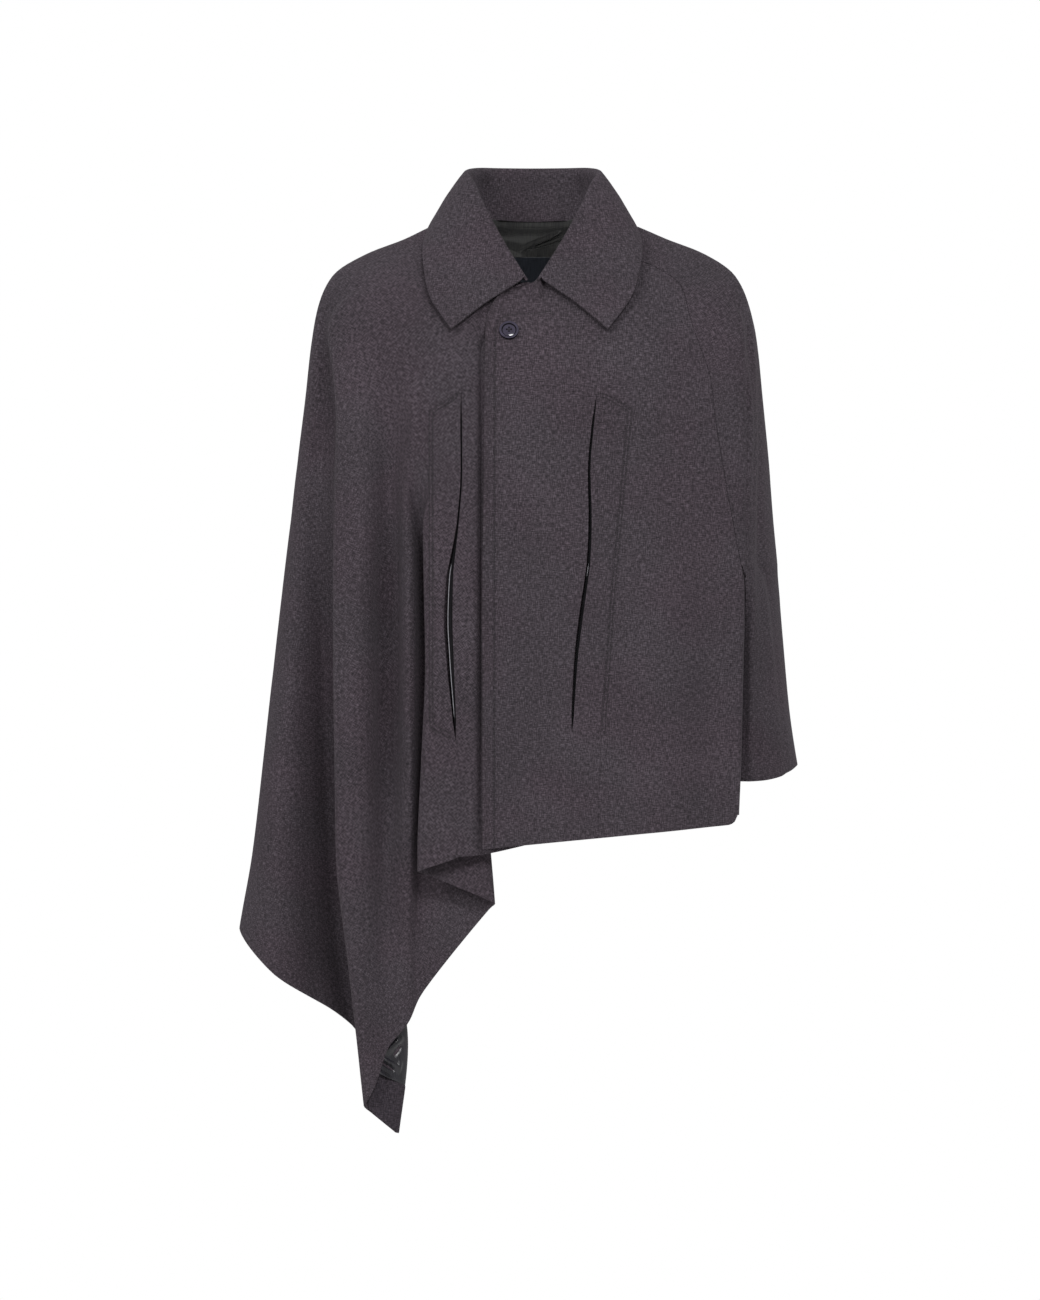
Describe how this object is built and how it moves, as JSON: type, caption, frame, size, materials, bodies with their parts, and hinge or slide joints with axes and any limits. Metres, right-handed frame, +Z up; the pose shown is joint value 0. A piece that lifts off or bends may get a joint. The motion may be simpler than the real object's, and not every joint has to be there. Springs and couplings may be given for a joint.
{
  "type": "poncho",
  "caption": "Asymmetric wool poncho with a shirt collar, a raglan cape sleeve on one side, two long arm slits and a folded drape ending in a low point on the other.",
  "frame": {"origin": "middle of the neck base inside the garment, level with the shoulder ends of the neck seam, where the wearer's neck and shoulders hold it", "axes": "+Z up, -Y out of the front, +X to the wearer's left"},
  "size_m": [0.5913, 0.2662, 1.0145],
  "materials": {
    "wool": "matt melton wool",
    "satin": "satin lining",
    "horn_button": "polished"
  },
  "bodies": {
    "root": {"front_left": "wool", "front_right": "wool", "back": "wool", "sleeve_left": "wool", "collar": "wool", "yoke_lining": "satin", "back_lining": "satin", "point_facing": "wool", "point_lining": "satin", "neck_button": "horn_button"}
  },
  "joints": []
}
